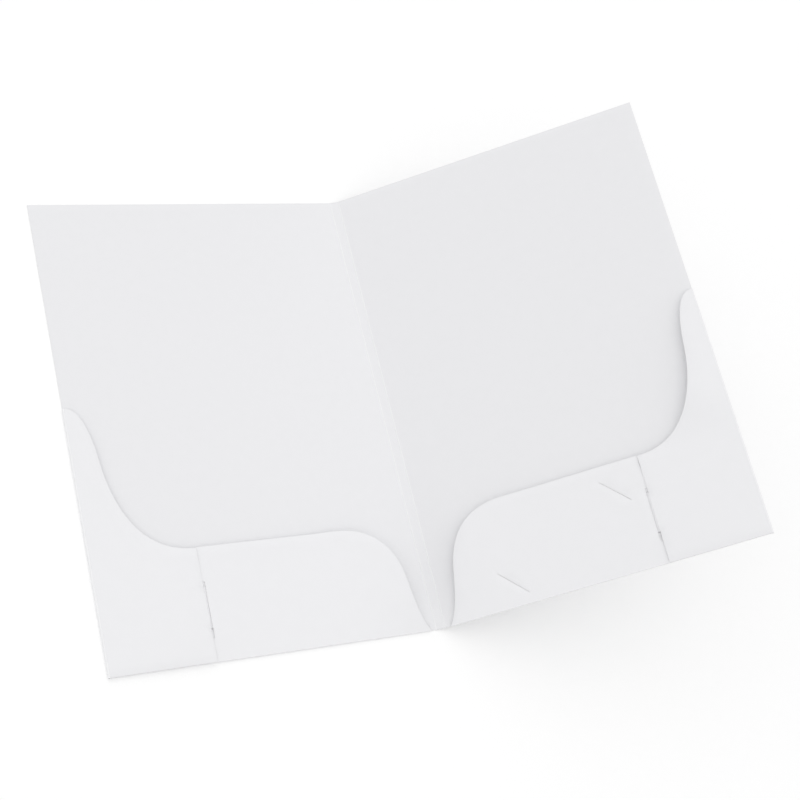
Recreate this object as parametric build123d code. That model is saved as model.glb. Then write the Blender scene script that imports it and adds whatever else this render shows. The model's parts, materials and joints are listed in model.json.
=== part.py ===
from build123d import *
import os
from math import cos, radians, sin, tan

os.makedirs("parts", exist_ok=True)

# The open folder. Lengths are in millimetres and angles in degrees.
cover_width = 213.0          # from a spine crease to the outer fold line
cover_height = 312.0         # from the bottom fold line to the top edge
spine_width = 6.0            # from crease to crease
crease_bend = 19.0           # how far each spine crease is bent as the folder lies open
board_thickness = 0.4
cut_setback = 0.4            # cut edges stand this far inside the fold lines

# Spine creases: a scored strip with a round bead on the inner side
bead_radius = 0.45
crease_play = 0.08

# Pockets: both flaps of a pocket spring open by the same small angle
pocket_gap = 0.8             # room under the bottom flap when it is pressed flat
layer_gap = 0.1              # between the bottom flap and the side flap over it
pocket_gape = 1.5
fold_play = 0.05
fold_relief = 0.6            # nick between the end of a fold and the cut edge beyond it

# Side flap: a tall hump on the outer fold that sweeps down to the lock seam
side_flap_height = 168.3
side_flap_reach = 65.9       # from the outer fold line to the lock seam
side_flap_foot = 0.6
side_shoulder_reach = 16.8
side_shoulder_height = 132.8
side_shoulder_lean_share = 0.1
side_hump_handle_share = 0.55
side_sweep_handle_share = 0.6

# Bottom flap: a level mouth that rounds off and runs down to the spine
bottom_flap_height = 71.5
mouth_step = 0.6             # the side flap meets the seam this far below the mouth
mouth_level_end = 57.5       # where the level mouth ends, measured from the crease
mouth_shoulder_inset = 15.0
mouth_shoulder_height = 34.2
mouth_shoulder_lean_share = 0.19
mouth_handle_share = 0.6
tail_inset = 4.2
tail_drop_share = 0.45
tail_handle_shares = (0.52, 0.23)
mitre_offset = 2.5           # the hidden ear is mitred this far inside the diagonal
seam_gap = 0.15              # where the two flaps meet edge to edge above the ear

# Lock: a tongue on the side flap goes down through a slot in the bottom flap
tongue_foot = 20.4
tongue_width = 26.2
tongue_tuck = 9.0
tongue_lead = 0.25
tongue_clearance = 0.1
slot_width = 1.5
slot_play_below = 5.8
slot_play_above = 3.0

# Slits in the right pocket that take two corners of a business card
card_length = 90.0
card_height = 50.0
card_margin = 2.2
card_from_seam = 13.5        # so the slits keep clear of the lock
card_from_bottom = 9.5
slit_leg = 16.5
slit_width = 0.4

# Heights above the outer face of a cover, with the pocket pressed flat
bottom_flap_level = board_thickness + pocket_gap
side_flap_level = bottom_flap_level + board_thickness + layer_gap

# A flap's fold axis lies halfway up its stack, so the flap unfolds level with the cover.
bottom_fold_radius = (bottom_flap_level + board_thickness) / 2
side_fold_radius = (side_flap_level + board_thickness) / 2
fold_start = mitre_offset + bottom_fold_radius
fold_end = cover_width - tail_inset


def at(from_edge, up):
    """Point of a cover, measured from its outer fold line and its bottom fold line."""
    return (cover_width - from_edge, up)


def plate(outline, level):
    """Flat board of the given outline, with its lower face at a level."""
    return extrude(Pos(0, 0, level) * make_face(outline), board_thickness)


def bottom_axis():
    return Axis((0, bottom_fold_radius, bottom_fold_radius), (1, 0, 0))


def side_axis():
    return Axis((cover_width - side_fold_radius, 0, side_fold_radius), (0, 1, 0))


def make_cover():
    """Panel of one half, cut back to the axes of its two folds."""
    nick = side_flap_height + fold_relief
    tail = fold_end + fold_relief
    corners = [
        (bead_radius, cut_setback),
        at(tail, cut_setback),
        at(tail, bottom_fold_radius),
        at(side_fold_radius, bottom_fold_radius),
        at(side_fold_radius, nick),
        at(cut_setback, nick),
        at(cut_setback, cover_height),
        (bead_radius, cover_height),
    ]
    return plate(Polyline(*corners, close=True), 0)


def make_side_flap():
    """Side flap with its S-shaped upper edge, standing open by the pocket's gape."""
    root = side_fold_radius + fold_play
    throat = bottom_flap_height - mouth_step
    hump_reach = (side_shoulder_reach - root) * side_hump_handle_share
    hump_drop = (side_flap_height - side_shoulder_height) * side_hump_handle_share
    sweep_drop = (side_shoulder_height - throat) * side_sweep_handle_share
    sweep_reach = (side_flap_reach - side_shoulder_reach) * side_sweep_handle_share
    lean = side_shoulder_lean_share
    shoulder = at(side_shoulder_reach, side_shoulder_height)
    hump = Bezier(
        at(root, side_flap_height),
        at(root + hump_reach, side_flap_height),
        at(side_shoulder_reach - lean * hump_drop, side_shoulder_height + hump_drop),
        shoulder,
    )
    sweep = Bezier(
        shoulder,
        at(side_shoulder_reach + lean * sweep_drop, side_shoulder_height - sweep_drop),
        at(side_flap_reach - sweep_reach, throat),
        at(side_flap_reach, throat),
    )
    edges = Polyline(
        at(side_flap_reach, throat),
        at(side_flap_reach, side_flap_foot),
        at(root, side_flap_foot),
        at(root, side_flap_height),
    )
    return plate(hump + sweep + edges, side_flap_level).rotate(side_axis(), pocket_gape)


def make_bottom_flap(with_card_slits):
    """Bottom flap with its mouth, mitred ear and lock slot, standing open by the gape."""
    root = bottom_fold_radius + fold_play
    shoulder_at = cover_width - mouth_shoulder_inset
    level_end = cover_width - mouth_level_end
    mouth_reach = (shoulder_at - level_end) * mouth_handle_share
    mouth_drop = (bottom_flap_height - mouth_shoulder_height) * mouth_handle_share
    tail_drop = (mouth_shoulder_height - root) * tail_drop_share
    tail_run = (fold_end - shoulder_at) * tail_handle_shares[0]
    tail_rise = (mouth_shoulder_height - root) * tail_handle_shares[1]
    lean = mouth_shoulder_lean_share
    shoulder = at(shoulder_at, mouth_shoulder_height)
    mouth = Bezier(
        at(level_end, bottom_flap_height),
        at(level_end + mouth_reach, bottom_flap_height),
        at(shoulder_at - lean * mouth_drop, mouth_shoulder_height + mouth_drop),
        shoulder,
    )
    tail = Bezier(
        shoulder,
        at(shoulder_at + lean * tail_drop, mouth_shoulder_height - tail_drop),
        at(fold_end - tail_run, root + tail_rise),
        at(fold_end, root),
    )
    edges = Polyline(
        at(fold_end, root),
        at(fold_start, root),
        at(fold_start, bottom_flap_height),
        at(level_end, bottom_flap_height),
    )
    flap = plate(mouth + tail + edges, bottom_flap_level)

    # Above the diagonal the ear would meet the side flap as both swing open.
    beyond = bottom_flap_height + side_flap_reach
    seam = side_flap_reach + seam_gap
    mitre = Polyline(
        at(mitre_offset, 0),
        at(seam, seam - mitre_offset),
        at(seam, beyond),
        at(mitre_offset, beyond),
        close=True,
    )
    flap -= plate(mitre, bottom_flap_level)

    slot_foot = tongue_foot - slot_play_below
    slot_top = tongue_foot + tongue_width + slot_play_above
    slot = Polyline(
        at(side_flap_reach, slot_foot),
        at(side_flap_reach + slot_width, slot_foot),
        at(side_flap_reach + slot_width, slot_top),
        at(side_flap_reach, slot_top),
        close=True,
    )
    flap -= plate(slot, bottom_flap_level)
    if with_card_slits:
        flap -= make_card_slits()
    return flap.rotate(bottom_axis(), pocket_gape)


def make_card_slits():
    """Cutters of the two slanted slits, at opposite corners of a card."""
    far = cover_width - side_flap_reach - card_from_seam + card_margin
    near = far - card_length - 2 * card_margin
    low = card_from_bottom - card_margin
    high = card_from_bottom + card_height + card_margin
    legs = [
        ((near, low + slit_leg), (near + slit_leg, low)),
        ((far, high - slit_leg), (far - slit_leg, high)),
    ]
    cutters = []
    for start, end in legs:
        slit = Line(start, end).offset_2d(slit_width, side=Side.LEFT)
        cutters.append(plate(slit, bottom_flap_level))
    return cutters


def fold_profile(radius, start_angle, arc):
    """Section of a rounded fold about its axis: one board thickness, bent through an arc."""
    inner = radius - board_thickness
    outside = CenterArc((0, 0), radius, start_angle, arc)
    inside = CenterArc((0, 0), inner, start_angle, arc)
    ends = Line(outside @ 0, inside @ 0) + Line(outside @ 1, inside @ 1)
    return make_face(outside + inside + ends)


def make_bottom_fold():
    """Rounded fold along the foot of the cover, from the cover round to the bottom flap."""
    plane = Plane(
        (cover_width - fold_end, bottom_fold_radius, bottom_fold_radius),
        x_dir=(0, 1, 0),
        z_dir=(1, 0, 0),
    )
    profile = fold_profile(bottom_fold_radius, 90 + pocket_gape, 180 - pocket_gape)
    return extrude(plane * profile, fold_end - fold_start)


def make_side_fold():
    """Rounded fold along the outer edge, from the cover round to the side flap."""
    plane = Plane(
        (cover_width - side_fold_radius, side_flap_height, side_fold_radius),
        x_dir=(1, 0, 0),
        z_dir=(0, -1, 0),
    )
    profile = fold_profile(side_fold_radius, -90, 180 - pocket_gape)
    return extrude(plane * profile, side_flap_height - side_flap_foot)


def make_lock_tongue():
    """Tongue that leaves the seam, dives through the slot and lies under the bottom flap."""
    run = side_flap_reach - side_fold_radius
    rise = side_flap_level - side_fold_radius
    gape = radians(pocket_gape)
    seam_x = side_flap_reach - run + run * cos(gape) - rise * sin(gape)
    seam_z = side_fold_radius + run * sin(gape) + rise * cos(gape)
    tongue_middle = tongue_foot + tongue_width / 2
    slot_z = bottom_flap_level + (tongue_middle - bottom_fold_radius) * tan(gape)
    under_z = bottom_flap_level + (tongue_foot - bottom_fold_radius) * tan(gape)
    tucked_z = under_z - tongue_clearance - board_thickness
    lead_x = seam_x + tongue_lead * cos(gape)
    lead_z = seam_z + tongue_lead * sin(gape)
    slope = (lead_z - slot_z) / (seam_x + slot_width / 2 - lead_x)
    dive_x = lead_x + (lead_z - tucked_z) / slope
    underside = Polyline(
        (cover_width - seam_x, seam_z),
        (cover_width - lead_x, lead_z),
        (cover_width - dive_x, tucked_z),
        (cover_width - dive_x - tongue_tuck, tucked_z),
    )
    profile = underside.offset_2d(board_thickness, kind=Kind.INTERSECTION, side=Side.RIGHT)
    plane = Plane((0, tongue_foot + tongue_width, 0), x_dir=(1, 0, 0), z_dir=(0, -1, 0))
    return extrude(plane * make_face(profile), tongue_width)


def make_crease():
    """Scored strip of a spine crease, with its bead centred on the hinge line."""
    strip = Polyline(
        (-bead_radius, board_thickness),
        (-bead_radius, 0),
        (bead_radius, 0),
        (bead_radius, board_thickness),
    )
    bead = CenterArc((0, board_thickness), bead_radius, 0, 180)
    plane = Plane((0, cover_height, 0), x_dir=(1, 0, 0), z_dir=(0, -1, 0))
    return extrude(plane * make_face(strip + bead), cover_height - cut_setback)


def make_spine():
    """Narrow panel between the two creases."""
    margin = bead_radius + crease_play
    near, far = margin, spine_width - margin
    corners = [(near, cut_setback), (far, cut_setback), (far, cover_height), (near, cover_height)]
    return plate(Polyline(*corners, close=True), 0)


def make_half(with_card_slits):
    """Pieces of the half to the right of the spine, as it lies flat with its crease at x = 0."""
    return {
        "cover": make_cover(),
        "spine_crease": make_crease(),
        "bottom_fold": make_bottom_fold(),
        "bottom_flap": make_bottom_flap(with_card_slits),
        "side_fold": make_side_fold(),
        "side_flap": make_side_flap(),
        "lock_tongue": make_lock_tongue(),
    }


def hinge_place(point, angle):
    """Place of a panel whose inner-face crease line stands at a point, bent up by an angle."""
    x, z = point
    return Pos(x, -cover_height / 2, z) * Rot(0, -angle, 0) * Pos(0, 0, -board_thickness)


# The left cover lies flat with the middle of its underside at the origin.
left_crease_at = (cover_width / 2, board_thickness)
right_crease_at = (
    left_crease_at[0] + spine_width * cos(radians(crease_bend)),
    left_crease_at[1] + spine_width * sin(radians(crease_bend)),
)
spread = 2 * crease_bend

nodes = {"spine": hinge_place(left_crease_at, crease_bend) * make_spine()}
for piece, solid in make_half(with_card_slits=False).items():
    nodes["left_" + piece] = hinge_place(left_crease_at, 0) * mirror(solid, Plane.YZ)
for piece, solid in make_half(with_card_slits=True).items():
    nodes["right_" + piece] = hinge_place(right_crease_at, spread) * solid

for name, solid in nodes.items():
    export_step(solid, f"parts/{name}.step")

# Hinge points and directions at rest, for whoever sets up the joints
right_place = hinge_place(right_crease_at, spread)
left_place = hinge_place(left_crease_at, 0)
print("left crease at", left_crease_at, "right crease at", right_crease_at)
for label, axis in (("side fold", side_axis()), ("bottom fold", bottom_axis())):
    here = right_place * Pos(*axis.position)
    there = left_place * Pos(-axis.position.X, axis.position.Y, axis.position.Z)
    print(label, "left at", tuple(there.position), "right at", tuple(here.position))
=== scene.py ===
import json
from math import atan2, ceil, cos, pi, radians, sin, tan

import bpy
from bpy.props import FloatProperty, FloatVectorProperty, IntProperty, PointerProperty
from mathutils import Matrix, Vector
from mathutils.geometry import delaunay_2d_cdt, interpolate_bezier


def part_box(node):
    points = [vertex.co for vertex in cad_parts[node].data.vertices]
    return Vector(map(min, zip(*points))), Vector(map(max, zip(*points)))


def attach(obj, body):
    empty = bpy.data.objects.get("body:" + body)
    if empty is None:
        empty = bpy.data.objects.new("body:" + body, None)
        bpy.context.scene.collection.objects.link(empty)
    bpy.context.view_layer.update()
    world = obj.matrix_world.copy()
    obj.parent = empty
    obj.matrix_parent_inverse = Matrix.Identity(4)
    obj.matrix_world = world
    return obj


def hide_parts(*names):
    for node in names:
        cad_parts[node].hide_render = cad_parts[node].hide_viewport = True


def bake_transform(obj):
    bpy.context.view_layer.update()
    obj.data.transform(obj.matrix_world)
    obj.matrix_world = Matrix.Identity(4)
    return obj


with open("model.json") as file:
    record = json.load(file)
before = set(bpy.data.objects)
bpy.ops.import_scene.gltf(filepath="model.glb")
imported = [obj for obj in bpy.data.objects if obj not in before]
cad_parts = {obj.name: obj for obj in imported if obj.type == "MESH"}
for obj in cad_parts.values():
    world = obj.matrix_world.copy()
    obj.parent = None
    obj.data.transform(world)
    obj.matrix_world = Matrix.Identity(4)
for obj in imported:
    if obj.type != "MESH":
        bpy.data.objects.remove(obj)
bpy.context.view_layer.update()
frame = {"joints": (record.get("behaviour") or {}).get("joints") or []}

bl_info = {
    "name": "Two pocket folder",
    "version": (1, 0, 0),
    "blender": (4, 5, 0),
    "location": "View3D > Sidebar > Folder",
    "description": "Open board folder with a creased spine and a locked corner pocket on each cover",
    "category": "Object",
}

MM = 0.001
SIDES = ("left", "right")
JOINTS = {joint["name"]: joint for joint in frame["joints"]}
LEFT_CREASE = Vector(JOINTS["left_crease"]["pos_m"])
RIGHT_CREASE = Vector(JOINTS["right_crease"]["pos_m"])
SIDE_HINGE = Vector(JOINTS["left_side_hinge"]["pos_m"])
BOTTOM_HINGE = Vector(JOINTS["left_bottom_hinge"]["pos_m"])

# Read off the frame: the creases lie on the inner face and the flaps unfold level with the cover.
BOARD_THICKNESS = LEFT_CREASE.z
CREASE_BEND = atan2(RIGHT_CREASE.z - LEFT_CREASE.z, RIGHT_CREASE.x - LEFT_CREASE.x)
SPINE_WIDTH = (RIGHT_CREASE - LEFT_CREASE).length
SIDE_FOLD_RADIUS = SIDE_HINGE.z
BOTTOM_FOLD_RADIUS = BOTTOM_HINGE.z
FOOT_LINE = BOTTOM_HINGE.y - BOTTOM_FOLD_RADIUS
COVER_WIDTH = LEFT_CREASE.x - SIDE_HINGE.x + SIDE_FOLD_RADIUS
COVER_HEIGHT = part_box("left_cover")[1].y - FOOT_LINE
POCKET_GAPE = radians(180 - JOINTS["left_side_hinge"]["range_deg"][1])
POCKET_PRESS = -radians(JOINTS["left_side_hinge"]["range_deg"][0])

# Which of the board's surfaces a face belongs to, and the order of a piece's material slots
OUTSIDE, INSIDE, CUT = range(3)

# Points of the longer and shorter curves of a flap's edge, and of a tongue's round corners
LONG_CURVE, SHORT_CURVE, CORNER_CURVE = 32, 24, 9
# Faces of a tongue's neck, across its dive and along the seam
NECK_STEPS, NECK_ROWS = 12, 5

# Faces that meet at a sharper turn than this are shaded apart
SHARP_TURN = radians(35)
# Sine of the turn under which an outline counts as running straight on
STRAIGHT_TURN = 1e-4
# Part of a mesh step that is put down to rounding
STEP_SLACK = 1e-6
# Points nearer than these are one, at the rim of a swept sheet and in the plan of a panel
WELD_DISTANCE, PLAN_WELD = 0.001 * MM, 1e-9
# Kind of triangulation that keeps what lies inside the edges
KEEP_INSIDE = 1


def linear(code):
    """Linear colour of an sRGB hex code."""
    channels = (int(code[i:i + 2], 16) / 255 for i in (1, 3, 5))
    return (*(c / 12.92 if c <= 0.04045 else ((c + 0.055) / 1.055) ** 2.4 for c in channels), 1.0)


def length(name, description, millimetres):
    """A size in the panel, written here in millimetres."""
    return FloatProperty(name=name, description=description, default=millimetres * MM, min=0.0,
                         unit="LENGTH", subtype="DISTANCE", precision=5)


def share(name, description, default):
    """A part of a size or of a full effect, from none to all of it."""
    return FloatProperty(name=name, description=description, default=default, min=0.0, max=1.0,
                         subtype="FACTOR")


def strength(name, description, default):
    """How strong a light or a bend is."""
    return FloatProperty(name=name, description=description, default=default, min=0.0)


def face_count(name, description, default):
    return IntProperty(name=name, description=description, default=default, min=4)


def angle(name, description, degrees):
    return FloatProperty(name=name, description=description, default=radians(degrees),
                         unit="ROTATION", subtype="ANGLE")


def place(name, description, millimetres):
    """A point of the row frame, written here in millimetres."""
    return FloatVectorProperty(name=name, description=description, size=3, precision=6,
                               default=[v * MM for v in millimetres], unit="LENGTH", subtype="TRANSLATION")


def direction(name, description, default):
    return FloatVectorProperty(name=name, description=description, size=3, precision=6, default=default,
                               subtype="DIRECTION")


def colour(name, description, code):
    """A colour, written here as an sRGB hex code."""
    return FloatVectorProperty(name=name, description=description, size=4, min=0.0, max=1.0,
                               default=linear(code), subtype="COLOR")


class FolderBoard(bpy.types.PropertyGroup):
    """Sizes of the board, its cut edges and its creases."""

    thickness: length("Thickness", "Caliper of the board", BOARD_THICKNESS / MM)
    edge_round: length("Edge rounding", "Radius that the die presses onto the cut edges", 0.1)
    cut_setback: length("Cut setback", "How far cut edges stand inside the fold lines", 0.4)
    fold_relief: length("Fold relief", "Nick between a fold's end and the cut edge beyond it", 0.6)
    mesh_step: length("Mesh step", "Spacing of the points inside a panel", 6.0)
    crease_reach: length("Crease reach", "Half width of a spine crease", 0.45)
    crease_play: length("Crease play", "Extra width of a crease on the spine's side", 0.08)
    bead_height: length("Bead height", "Rise of the crease bead on the inner face", 0.25)
    crease_steps: face_count("Crease steps", "Faces across a crease", 16)
    fold_steps: face_count("Fold steps", "Faces round a fold", 20)


class FolderFlaps(bpy.types.PropertyGroup):
    """Outlines of the pocket flaps, measured from the fold lines, and how they spring open."""

    side_height: length("Side flap height", "Top of the side flap on the outer fold", 168.3)
    side_reach: length("Side flap reach", "From the outer fold to the lock seam", 65.9)
    side_foot: length("Side flap foot", "Height of the side flap's lower edge", 0.05)
    side_shoulder_reach: length("Side shoulder reach", "Where the hump turns into the sweep", 16.8)
    side_shoulder_height: length("Side shoulder height", "Height of that turn", 132.8)
    side_lean: share("Side lean", "Lean of the edge at the side shoulder", 0.1)
    hump_handle: share("Hump handle", "Fullness of the hump", 0.55)
    sweep_handle: share("Sweep handle", "Fullness of the sweep", 0.6)
    bottom_height: length("Bottom flap height", "Height of the level mouth", 71.5)
    mouth_step: length("Mouth step", "Drop from the mouth to the side flap at the seam", 0.6)
    mouth_level_end: length("Mouth level end", "Where the level mouth ends, from the crease", 57.5)
    mouth_shoulder_inset: length("Mouth shoulder inset", "Turn of the mouth, from the crease", 15.0)
    mouth_shoulder_height: length("Mouth shoulder height", "Height of that turn", 34.2)
    mouth_lean: share("Mouth lean", "Lean of the edge at the mouth's shoulder", 0.19)
    mouth_handle: share("Mouth handle", "Fullness of the mouth's curve", 0.6)
    tail_inset: length("Tail inset", "End of the bottom fold, from the crease", 4.2)
    tail_drop: share("Tail drop", "Fullness of the tail below the shoulder", 0.45)
    tail_run: share("Tail run", "Run of the tail along the fold", 0.52)
    tail_rise: share("Tail rise", "Rise of the tail off the fold", 0.23)
    corner_room: length("Corner room", "Room between the two folds at a lower corner", 0.05)
    mitre_offset: length("Mitre offset", "How far the hidden ear ends inside the diagonal", 2.5)
    seam_gap: length("Seam gap", "Room between the flaps where they meet edge to edge", 0.15)
    end_curl_start: length("End curl start", "Where the bottom flap begins to rise, from the crease", 80.0)
    left_curl_run: length("Left curl run", "Run in which the left rise would grow to a full turn", 445.0)
    right_curl_run: length("Right curl run", "Run in which the right rise would grow to a full turn", 640.0)
    end_curl_bend: length("End curl bend", "How far from the fold the rise levels out", 150.0)
    left_hump_curl: length("Left hump curl", "Rise of the left side flap's free edge", 0.3)
    right_hump_curl: length("Right hump curl", "Rise of the right side flap's free edge", 4.5)
    hump_curl_run: length("Hump curl run", "How far above the mouth that rise is full", 30.0)
    hump_curl_bend: length("Hump curl bend", "How far from the fold it builds up", 10.0)
    seam_room: length("Seam room", "Room under the side flap's seam when the pocket is pressed", 0.05)
    seam_top_room: length("Seam top room", "Further room under its corner at the top of the seam", 0.3)
    fold_play: length("Fold play", "Play between opened panels where they meet at a fold", 0.02)
    foot_hug: length("Foot hug", "How far up the side flap's foot lies close to the bottom fold", 12.0)
    seam_bend: strength("Seam bend", "How much the bend gathers at the seam above that", 4.0)


class FolderLock(bpy.types.PropertyGroup):
    """The tongue and slot that lock a pocket, and the slits for a business card."""

    tongue_foot: length("Tongue foot", "Height of the tongue's lower edge", 20.4)
    tongue_width: length("Tongue width", "Width of the tongue along the seam", 26.2)
    tongue_tuck: length("Tongue tuck", "Length of the tongue under the bottom flap", 7.0)
    tongue_shoulder: share("Tongue shoulder", "Part of the tuck before the tongue's ends round off", 1 / 3)
    tongue_corner: share("Tongue corner", "Height of its round corners, as a part of the tuck", 1 / 2)
    tongue_nick: length("Tongue nick", "Cut between the tongue's neck and its ears", 0.15)
    tongue_ear: length("Tongue ear", "How far its ears reach past the ends of the slot", 0.8)
    tongue_clearance: length("Tongue clearance", "Room between the tongue and the flap above it", 0.06)
    slot_width: length("Slot width", "Opening of the slot beside the seam", 1.4)
    slot_play_below: length("Slot play below", "Slot left open under the tongue", 5.8)
    slot_play_above: length("Slot play above", "Slot left open over the tongue", 3.0)
    card_length: length("Card length", "Business card that the slits hold", 90.0)
    card_height: length("Card height", "Business card that the slits hold", 50.0)
    card_margin: length("Card margin", "How far the slits reach past the card", 2.2)
    card_from_seam: length("Card from seam", "From the lock seam to the card", 13.5)
    card_from_bottom: length("Card from bottom", "From the bottom fold to the card", 9.5)
    slit_leg: length("Slit leg", "Height and run of a slanted slit", 16.5)
    slit_width: length("Slit width", "Opening of a slit", 0.12)


class FolderLook(bpy.types.PropertyGroup):
    """Colours of the board."""

    outside: colour("Coated outside", "Coated face, which shows on the flaps", "#F2F2F4")
    outside_cloud: colour("Coated cloud", "Thinner patches of the coating", "#F0F0F2")
    inside: colour("Uncoated inside", "Inner face of the covers", "#F0F0F2")
    inside_cloud: colour("Inside cloud", "Denser patches of pulp", "#EEEEF0")
    cut_edge: colour("Cut edge", "Pulp laid bare by the die", "#EEEDEB")
    # The fold colour is paler than the coating: a painted highlight along the rounded folds.
    fold: colour("Fold", "Coating stretched and rubbed pale along the folds", "#FAFAFB")
    # The crease colour is paler than the pulp: a painted highlight along the crease beads.
    crease: colour("Crease", "Pulp pressed and rubbed pale along the spine creases", "#F3F3F4")


class FolderStage(bpy.types.PropertyGroup):
    """Camera, floor and light."""

    lens: FloatProperty(name="Lens", description="Focal length of the camera", default=68.597, min=1.0,
                        unit="CAMERA")
    sensor: FloatProperty(name="Sensor", description="Width of the camera's sensor", default=36.0, min=1.0,
                          unit="CAMERA")
    camera_place: place("Camera place", "In front of the foot, to the left and above",
                        (-335.648, -343.079, 852.586))
    camera_right: direction("Camera right", "Right-hand side of the picture",
                            (0.89308, -0.232465, 0.385186))
    camera_up: direction("Camera up", "Top of the picture", (0.062998, 0.912345, 0.404546))
    sky: strength("Sky light", "Even light from all round", 0.55)
    sky_tint: colour("Sky tint", "Colour of the even light", "#FFFFFF")
    backdrop: strength("Backdrop", "Brightness of the surroundings as the camera sees them", 1.0)
    key: strength("Key light", "Strength of the broad light overhead", 1.30)
    key_travel: direction("Key travel", "Way in which the broad light shines", (0.12, -0.25, -0.95))
    key_spread: angle("Key spread", "Width of the broad light as the folder sees it", 130.0)
    floor: colour("Floor", "Pale paper sweep under the folder", "#FAFAFA")
    floor_lift: share("Floor lift", "Light that the camera sees on the floor besides the lamp's", 0.1)
    floor_half: length("Floor half width", "From the middle of the floor to its edges", 4000.0)
    floor_drop: length("Floor drop", "Room between the folder and the floor", 0.05)


GROUPS = {
    "folder_board": FolderBoard,
    "folder_flaps": FolderFlaps,
    "folder_lock": FolderLock,
    "folder_look": FolderLook,
    "folder_stage": FolderStage,
}


def smooth(t):
    """Ease from 0 to 1, level at both ends."""
    t = min(max(t, 0.0), 1.0)
    return t * t * (3 - 2 * t)


def half_place(side):
    """From a half lying flat, its crease at x = 0 and its outer face at z = 0, to the row frame."""
    if side == "left":
        return Matrix.Translation((LEFT_CREASE.x, FOOT_LINE, 0)) @ Matrix.Scale(-1, 4, (1, 0, 0))
    turn = Matrix.Rotation(-2 * CREASE_BEND, 4, "Y")
    lower = Matrix.Translation((0, 0, -BOARD_THICKNESS))
    return Matrix.Translation((RIGHT_CREASE.x, FOOT_LINE, RIGHT_CREASE.z)) @ turn @ lower


def spine_place(crease):
    """From the flat spine, a crease at x = 0 and the inner face at z = 0, to the row frame."""
    turn = Matrix.Rotation(-CREASE_BEND, 4, "Y")
    return Matrix.Translation((crease.x, FOOT_LINE, crease.z)) @ turn


def bottom_swing():
    """Opening of the bottom flap about its fold, in the flat half."""
    pivot = Matrix.Translation((0, BOTTOM_FOLD_RADIUS, BOTTOM_FOLD_RADIUS))
    return pivot @ Matrix.Rotation(POCKET_GAPE, 4, "X") @ pivot.inverted()


def side_swing():
    """Opening of the side flap about its fold, in the flat half."""
    pivot = Matrix.Translation((COVER_WIDTH - SIDE_FOLD_RADIUS, 0, SIDE_FOLD_RADIUS))
    return pivot @ Matrix.Rotation(POCKET_GAPE, 4, "Y") @ pivot.inverted()


def at(from_edge, up):
    """Point of a flat half, measured from its outer fold line and its bottom fold line."""
    return (COVER_WIDTH - from_edge, up)


def curve(start, start_handle, end_handle, end, count):
    """Points of a cubic curve, without its last one."""
    points = interpolate_bezier(*(Vector((*p, 0)) for p in (start, start_handle, end_handle, end)), count)
    return [(p.x, p.y) for p in points[:-1]]


def divided(points, joined, step):
    """An outline cut into short edges, and for each edge whether it is joined to other board."""
    out, flags = [], []
    for i, (start, flag) in enumerate(zip(points, joined)):
        start, end = Vector(start), Vector(points[(i + 1) % len(points)])
        pieces = max(1, ceil((end - start).length / step - STEP_SLACK))
        out += [start.lerp(end, k / pieces) for k in range(pieces)]
        flags += [flag] * pieces
    return out, flags


def inset(points, distances):
    """A closed outline moved to its left, each edge by its own distance."""
    moved = []
    for i, point in enumerate(points):
        before = (point - points[i - 1]).normalized()
        after = (points[(i + 1) % len(points)] - point).normalized()
        a, b = distances[i - 1], distances[i]
        normal_a, normal_b = Vector((-before.y, before.x)), Vector((-after.y, after.x))
        turn = before.cross(after)
        if abs(turn) < STRAIGHT_TURN:
            moved.append(point + (normal_a * a + normal_b * b) / 2)
            continue
        reach = ((normal_b * b - normal_a * a).cross(after)) / turn
        moved.append(point + normal_a * a + before * reach)
    return moved


def inside_outline(point, outline):
    """Whether a point lies inside a closed outline."""
    hit = False
    for i, b in enumerate(outline):
        a = outline[i - 1]
        if (a.y > point.y) != (b.y > point.y):
            hit ^= point.x < a.x + (point.y - a.y) * (b.x - a.x) / (b.y - a.y)
    return hit


def clear_of(point, outline, room):
    """Whether a point stands at least this far from a closed outline."""
    for i, b in enumerate(outline):
        a = outline[i - 1]
        edge = b - a
        along = min(max((point - a).dot(edge) / edge.length_squared, 0.0), 1.0)
        if (point - a - edge * along).length_squared < room * room:
            return False
    return True


def on_board(point, rim, holes):
    """Whether a point lies inside a panel's rim and in none of its holes."""
    return inside_outline(point, rim) and not any(inside_outline(point, hole) for hole in holes)


def even_points(rim, holes, step):
    """Evenly spaced points inside a panel, clear of its edges."""
    xs, ys = [p.x for p in rim], [p.y for p in rim]
    points = []
    for column in range(1, int((max(xs) - min(xs)) / step) + 1):
        for row in range(1, int((max(ys) - min(ys)) / step) + 1):
            # every other row stands half a step over, for even triangles
            p = Vector((min(xs) + (column - row % 2 / 2) * step, min(ys) + row * step))
            if on_board(p, rim, holes) and all(clear_of(p, edge, step / 2) for edge in (rim, *holes)):
                points.append(p)
    return points


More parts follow.
